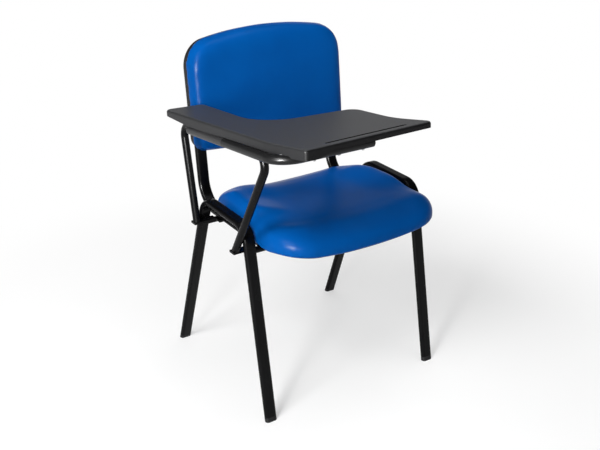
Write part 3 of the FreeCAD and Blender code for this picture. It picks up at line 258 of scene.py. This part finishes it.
def filled_copy(name, nodes):
    """The nodes' meshes joined in one new object, for foam that closes round its board."""
    shape = bmesh.new()
    for node in nodes:
        shape.from_mesh(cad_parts[node].data)
    bmesh.ops.remove_doubles(shape, verts=shape.verts, dist=merge_distance)
    mesh = bpy.data.meshes.new(name)
    shape.to_mesh(mesh)
    shape.free()
    piece = bpy.data.objects.new(name, mesh)
    bpy.context.scene.collection.objects.link(piece)
    return piece


def apply_modifiers(piece):
    """Bakes the piece's modifiers into its mesh."""
    seen = piece.evaluated_get(bpy.context.evaluated_depsgraph_get())
    mesh = bpy.data.meshes.new_from_object(seen)
    piece.modifiers.clear()
    piece.data = mesh


def remesh(piece, voxel):
    """Gives the piece an even skin without its board."""
    step = piece.modifiers.new("remesh", "REMESH")
    step.mode = "VOXEL"
    step.voxel_size = voxel
    step.use_smooth_shade = True
    apply_modifiers(piece)


def puff(piece, held, pressure, cap, frames=20):
    """Blows the vinyl up a little with cloth, holding the points for which held(point) is true."""
    start = [vertex.co.copy() for vertex in piece.data.vertices]
    group = piece.vertex_groups.new(name="held")
    group.add([index for index, point in enumerate(start) if held(point)], 1.0, "REPLACE")
    cloth = piece.modifiers.new("puff", "CLOTH")
    cloth.settings.use_pressure = True
    cloth.settings.uniform_pressure_force = pressure
    cloth.settings.effector_weights.gravity = 0.0
    cloth.settings.vertex_group_mass = "held"
    cloth.settings.quality = 6
    cloth.settings.tension_stiffness = 25.0
    cloth.settings.compression_stiffness = 25.0
    cloth.settings.bending_stiffness = 6.0
    cloth.point_cache.frame_end = frames
    scene = bpy.context.scene
    for number in range(1, frames + 1):
        scene.frame_set(number)
    apply_modifiers(piece)
    scene.frame_set(1)
    for vertex, rest in zip(piece.data.vertices, start):
        moved = vertex.co - rest
        if moved.length > cap:
            vertex.co = rest + moved.normalized() * cap
    piece.vertex_groups.clear()


def relax(piece, held, rounds):
    """Evens the voxel steps out, leaving held points where they are."""
    shape = bmesh.new()
    shape.from_mesh(piece.data)
    free = [vertex for vertex in shape.verts if not held(vertex.co)]
    for _ in range(rounds):
        bmesh.ops.smooth_vert(shape, verts=free, factor=0.5, use_axis_x=True, use_axis_y=True,
                              use_axis_z=True)
    for face in shape.faces:
        face.smooth = True
    shape.to_mesh(piece.data)
    shape.free()


def cover_in(piece, finish):
    """Gives a cushion its cover, and a finer skin when it is shown."""
    piece.data.materials.clear()
    piece.data.materials.append(finish)
    finer = piece.modifiers.new("finer", "SUBSURF")
    finer.levels = 1
    finer.render_levels = 1


vinyl = blue_vinyl()
cover_voxel = 0.005
foam_pressure = 4.0
puff_cap = 0.0015
seat_belly = seat_low.z + 0.014  # where the cushion is widest
belly_margin = 0.004
dish_depth = 0.014
hip_rise = 0.013
hip_length = 0.55
rear_fall = 0.004
dent_depth = 0.006
rear_roll = 0.009


def under_seat_belly(point):
    return point.z - turned_up(point) < seat_belly - belly_margin


def hump(middle, width, value):
    """1 at the middle, falling off evenly to both sides."""
    return math.exp(-((value - middle) / width) ** 2)


def saddle(point):
    """How far the seat's upper side is off the plain crown: a dish for the sitter between two raised hips,
    and at the arm's side a dent behind the front roll and a fuller rear corner."""
    across, along = seat_place(point)
    arm_side = point.x < seat_middle.x
    dish = -dish_depth * (1.0 - across * across) * ease(-0.70, 0.45, along)
    hip_end = 1.05 if arm_side else 0.85
    hips = hip_rise * ease(0.45, 0.90, across) * ease(-0.34, 0.04, along)
    hips *= ease(hip_end, hip_end - hip_length, along)
    offset = dish + hips - rear_fall * ease(0.55, 0.95, along)
    if arm_side:
        offset -= dent_depth * ease(0.50, 0.95, across) * hump(-0.16, 0.09, along)
        offset += rear_roll * hump(0.54, 0.22, across) * ease(0.30, 0.75, along)
    return offset


seat_cushion = filled_copy("seat_cushion_looks", ["seat_cushion", "seat_board"])
remesh(seat_cushion, cover_voxel)
for vertex in seat_cushion.data.vertices:
    above_belly = ease(seat_belly, seat_high.z, vertex.co.z)
    vertex.co.z += turned_up(vertex.co) + saddle(vertex.co) * above_belly
puff(seat_cushion, under_seat_belly, foam_pressure, puff_cap)
relax(seat_cushion, under_seat_belly, rounds=8)
cover_in(seat_cushion, vinyl)
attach(seat_cushion, "frame")
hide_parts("seat_cushion")

# Back board and its fasteners
# A plywood board bent to the back's curve, bolted to the uprights through T-nuts.
smooth_copy("back_board", "frame", raw_plywood)
for node in ("back_t_nuts", "back_bolts"):
    smooth_copy(node, "frame", zinc)

# Back shell
# A thin black plastic moulding behind the back that hides the board, the bolts and the uprights' ends.
smooth_copy("back_shell", "frame", black_plastic)

# Back cushion
# Foam on the back board under the same vinyl, rounded at the front edge and flat towards the shell.
# Places on it are measured along a line that leans back with the uprights.
back_low, back_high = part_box("back_cushion")
back_middle = (back_low + back_high) / 2
back_half = (back_high - back_low) / 2
back_lean = math.radians(7.8)
rear_line = Vector((0.0, math.cos(back_lean), -math.sin(back_lean)))
rear_reach = max(rear_line.dot(vertex.co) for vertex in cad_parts["back_cushion"].data.vertices)
held_depth = 0.022
full_start = 0.020
full_end = 0.034
rim_out = 0.003
back_fullness = 0.008


def on_back_rear(point):
    return rear_line.dot(point) > rear_reach - held_depth


def pillow(point):
    """How the vinyl stands off the plain foam: fuller in the middle of the front, and out at the rim."""
    across = (point.x - back_middle.x) / back_half.x
    upwards = (point.z - back_middle.z) / back_half.z
    fullness = (1.0 - across ** 2) * (1.0 - upwards ** 4)
    forward = ease(rear_reach - full_start, rear_reach - full_end, rear_line.dot(point))
    rim = Vector((across * rim_out, 0.0, upwards * rim_out))
    return rim - rear_line * (back_fullness * max(fullness, 0.0) * forward)


back_cushion = filled_copy("back_cushion_looks", ["back_cushion", "back_board"])
remesh(back_cushion, cover_voxel)
for vertex in back_cushion.data.vertices:
    vertex.co += pillow(vertex.co)
puff(back_cushion, on_back_rear, foam_pressure, puff_cap)
relax(back_cushion, on_back_rear, rounds=30)
cover_in(back_cushion, vinyl)
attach(back_cushion, "frame")
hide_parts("back_cushion")

# Arm
# One round tube bent to two uprights and a top rail, welded to flat steel straps that the seat bolts
# clamp under the bearer.
for node in ("arm_tube", "front_arm_strap", "rear_arm_strap"):
    smooth_copy(node, "frame", black_coat)

# Hinge
# A sleeve welded along the top rail, closed by a plug behind, with nylon bushes and a stop pin inside.


def dark_nylon():
    finish, shader, coordinates = new_finish("dark_nylon")
    cloud = add_noise(finish, coordinates, scale=60.0, detail=2.0)
    shade_between(finish, cloud, shader, low=(0.005, 0.005, 0.005), high=(0.009, 0.009, 0.010))
    shader.inputs["Roughness"].default_value = 0.4
    shader.inputs["Specular IOR Level"].default_value = 0.1
    return finish


def hinge_coat(name, shade):
    """A satin black coat whose base colour is lifted to a grey as painted reflection of the bright lamps at
    the tablet side; a higher shade paints more of it.
    """
    finish, shader, coordinates = new_finish(name)
    cloud = add_noise(finish, coordinates, scale=14.0, detail=3.0)
    shade_between(finish, cloud, shader, low=(shade, shade, shade * 1.05),
                  high=(shade * 1.3, shade * 1.3, shade * 1.35))
    vary(finish, cloud, shader.inputs["Roughness"], low=0.26, high=0.34)
    shader.inputs["Specular IOR Level"].default_value = 0.16
    return finish


nylon = dark_nylon()
# The sleeve's grey is painted reflection, not wear: its base colour is lifted well above the frame's black
# coat.
smooth_copy("hinge_sleeve", "frame", hinge_coat("sleeve_coat_painted_reflection", shade=0.027))
smooth_copy("sleeve_plug", "frame", black_plastic)
smooth_copy("stop_pin", "frame", zinc)
for node in ("front_hinge_bush", "rear_hinge_bush"):
    smooth_copy(node, "frame", nylon)

# Tablet tube
# The tube that turns in the sleeve on its spigot, bent inboard under the writing face and screwed to it.
smooth_copy("hinge_spigot", "tablet", black_coat)
# The tube's base colour is lifted a little above the frame's black coat as painted reflection.
smooth_copy("tablet_tube", "tablet", hinge_coat("tube_coat_painted_reflection", shade=0.009))
smooth_copy("tablet_tube_plug", "tablet", black_plastic)
smooth_copy("tablet_screws", "tablet", zinc)

# Tablet
# A moulded writing tablet in black plastic, with a pencil groove and a rounded edge. Its writing face is
# finely grained, the skirt and underside are finer, and the front edge is smooth. Its colour is painted
# light and shade by the way each face turns: the writing face is greyest as painted light from above, the
# skirt and underside are darker, and the front edge is near black as painted shade.


def add_step(tree, value, start, end, low=0.0, high=1.0):
    """Eases from low, where the value is at start, to high, where it is at end."""
    step = tree.nodes.new("ShaderNodeMapRange")
    step.interpolation_type = "SMOOTHSTEP"
    step.inputs["From Min"].default_value = start
    step.inputs["From Max"].default_value = end
    step.inputs["To Min"].default_value = low
    step.inputs["To Max"].default_value = high
    tree.links.new(value, step.inputs["Value"])
    return step.outputs["Result"]


def add_product(tree, first, second):
    """One pattern held back by another."""
    product = tree.nodes.new("ShaderNodeMath")
    product.operation = "MULTIPLY"
    tree.links.new(first, product.inputs[0])
    tree.links.new(second, product.inputs[1])
    return product.outputs["Value"]


cloud_share = 0.2


def tablet_plastic():
    finish, shader, coordinates = new_finish("black_plastic_painted_facing_light")
    tree = finish.node_tree
    facing = tree.nodes.new("ShaderNodeSeparateXYZ")
    tree.links.new(coordinates.outputs["Normal"], facing.inputs["Vector"])
    # Painted light and shade by facing: faces turned up get the full grey, the sides get 0.38 of it, and
    # faces turned to the front are painted near black.
    upper = add_step(tree, facing.outputs["Z"], start=0.72, end=0.96, low=0.38)
    behind_front = add_step(tree, facing.outputs["Y"], start=-0.70, end=-0.25)
    painted_facing_light_and_gloss = add_product(tree, upper, behind_front)
    cloud = add_noise(finish, coordinates, scale=12.0, detail=3.0)
    tone_and_painted_light = tree.nodes.new("ShaderNodeMath")
    tone_and_painted_light.operation = "MULTIPLY_ADD"
    tone_and_painted_light.inputs[1].default_value = cloud_share
    tree.links.new(cloud, tone_and_painted_light.inputs[0])
    tree.links.new(painted_facing_light_and_gloss, tone_and_painted_light.inputs[2])
    # The grey and black here are painted light and shade from the facing mask, with a little random tone
    # from the cloud.
    shade_between(finish, tone_and_painted_light.outputs["Value"], shader, low=(0.006, 0.006, 0.0065),
                  high=(0.047, 0.048, 0.051), start=0.05, end=1.0)
    pebble = add_cells(finish, coordinates, scale=1100.0)
    vary(finish, painted_facing_light_and_gloss, shader.inputs["Roughness"], low=0.36, high=0.46)
    vary(finish, painted_facing_light_and_gloss, shader.inputs["Specular IOR Level"], low=0.08, high=0.2)
    grain(finish, pebble, shader, depth=0.0002, strength=0.3)
    return finish


def pad_rubber():
    finish, shader, coordinates = new_finish("black_rubber")
    cloud = add_noise(finish, coordinates, scale=90.0, detail=2.0)
    shade_between(finish, cloud, shader, low=(0.008, 0.008, 0.008), high=(0.014, 0.014, 0.014))
    shader.inputs["Roughness"].default_value = 0.75
    return finish


smooth_copy("tablet_top", "tablet", tablet_plastic())
smooth_copy("rest_pads", "tablet", pad_rubber())

# Floor
# A plain pale floor that keeps the chair's soft shadow and runs out into pure white, where the
# surroundings are seen.


def add_seen(tree):
    """1 for rays that show the surroundings: straight to the camera, in a gloss or through glass."""
    path = tree.nodes.new("ShaderNodeLightPath")
    total = path.outputs["Is Camera Ray"]
    for kind in ("Is Glossy Ray", "Is Transmission Ray"):
        either = tree.nodes.new("ShaderNodeMath")
        either.operation = "MAXIMUM"
        tree.links.new(total, either.inputs[0])
        tree.links.new(path.outputs[kind], either.inputs[1])
        total = either.outputs["Value"]
    return total


def add_mix(tree, factor, first, second):
    """Shows the first shader where the factor is 0, and the second where it is 1."""
    mix = tree.nodes.new("ShaderNodeMixShader")
    tree.links.new(factor, mix.inputs["Fac"])
    tree.links.new(first, mix.inputs[1])
    tree.links.new(second, mix.inputs[2])
    return mix.outputs["Shader"]


paper_glow = 0.46


def white_paper():
    paper = bpy.data.materials.new("white_paper")
    paper.use_nodes = True
    tree = paper.node_tree
    shader = tree.nodes["Principled BSDF"]
    shader.inputs["Base Color"].default_value = (0.58, 0.58, 0.58, 1.0)
    shader.inputs["Roughness"].default_value = 0.9
    shader.inputs["Specular IOR Level"].default_value = 0.0
    seen = add_seen(tree)
    shader.inputs["Emission Color"].default_value = (1.0, 1.0, 1.0, 1.0)
    glow = tree.nodes.new("ShaderNodeMath")
    glow.operation = "MULTIPLY"
    glow.inputs[1].default_value = paper_glow
    tree.links.new(seen, glow.inputs[0])
    tree.links.new(glow.outputs["Value"], shader.inputs["Emission Strength"])
    place = tree.nodes.new("ShaderNodeTexCoord")
    reach = tree.nodes.new("ShaderNodeVectorMath")
    reach.operation = "LENGTH"
    tree.links.new(place.outputs["Object"], reach.inputs[0])
    fade = add_step(tree, reach.outputs["Value"], start=0.55, end=1.3)
    white = tree.nodes.new("ShaderNodeEmission")
    shown = add_product(tree, fade, seen)
    surface = add_mix(tree, shown, shader.outputs["BSDF"], white.outputs["Emission"])
    tree.links.new(surface, tree.nodes["Material Output"].inputs["Surface"])
    return paper


bpy.ops.mesh.primitive_plane_add(size=40.0, location=(0.0, 0.0, 0.0))
floor = bpy.context.object
floor.name = "floor"
floor.data.materials.append(white_paper())

# Studio light
# Soft boxes at the chair's tablet side, weaker ones overhead and at the far side, a strong one that shows
# only in glosses, and a dim room with a white sweep round it.
scene = bpy.context.scene
chair_middle = Vector((0.0, 0.0, 0.45))


def soft_box(name, position, width, height, power):
    """A lamp behind cloth, turned to the middle of the chair; power is in watts."""
    lamp = bpy.data.lights.new(name, "AREA")
    lamp.shape = "RECTANGLE"
    lamp.size = width
    lamp.size_y = height
    lamp.energy = power
    holder = bpy.data.objects.new(name, lamp)
    holder.location = position
    holder.rotation_euler = (chair_middle - Vector(position)).to_track_quat("-Z", "Y").to_euler()
    scene.collection.objects.link(holder)
    return holder


def studio_room():
    room = bpy.data.worlds.new("studio")
    room.use_nodes = True
    tree = room.node_tree
    light = tree.nodes["Background"]
    light.inputs["Color"].default_value = (1.0, 1.0, 1.0, 1.0)
    light.inputs["Strength"].default_value = 0.2
    shown = tree.nodes.new("ShaderNodeBackground")
    shown.inputs["Color"].default_value = (1.0, 1.0, 1.0, 1.0)
    direction = tree.nodes.new("ShaderNodeTexCoord")
    height = tree.nodes.new("ShaderNodeSeparateXYZ")
    tree.links.new(direction.outputs["Generated"], height.inputs["Vector"])
    sweep = add_step(tree, height.outputs["Z"], start=0.08, end=0.2, low=1.0, high=0.04)
    tree.links.new(sweep, shown.inputs["Strength"])
    surface = add_mix(tree, add_seen(tree), light.outputs["Background"], shown.outputs["Background"])
    tree.links.new(surface, tree.nodes["World Output"].inputs["Surface"])
    return room


soft_box("key", (-1.95, -0.65, 2.25), width=1.0, height=1.0, power=58.0)
soft_box("side", (-1.9, -1.3, 0.9), width=0.35, height=0.9, power=26.0)
soft_box("top", (0.5, -0.1, 3.0), width=1.6, height=1.2, power=19.0)
soft_box("far", (2.1, 2.3, 1.75), width=1.2, height=1.2, power=1.8)
glint = soft_box("glint", (-1.85, -1.2, 1.0), width=0.6, height=0.5, power=240.0)
glint.visible_diffuse = False
scene.world = studio_room()
scene.view_settings.view_transform = "Standard"

# Camera
# The photograph's viewpoint: in front of the chair, to the tablet side, a little above a sitter's eyes.
camera_azimuth = math.radians(-33.942)
camera_height = math.radians(25.067)
camera_roll = math.radians(0.801)
camera_distance = 2.1603
camera_target = Vector((-0.03801, -0.000138, 0.4))
backwards = Vector((math.sin(camera_azimuth) * math.cos(camera_height),
                    -math.cos(camera_azimuth) * math.cos(camera_height), math.sin(camera_height)))
lens = bpy.data.cameras.new("camera")
lens.sensor_fit = "HORIZONTAL"
lens.sensor_width = 36.0
lens.lens = 54.0
camera = bpy.data.objects.new("camera", lens)
camera.location = camera_target + backwards * camera_distance
upright = (-backwards).to_track_quat("-Z", "Y").to_matrix().to_4x4()
camera.rotation_euler = (upright @ Matrix.Rotation(camera_roll, 4, "Z")).to_euler()
scene.collection.objects.link(camera)
scene.camera = camera
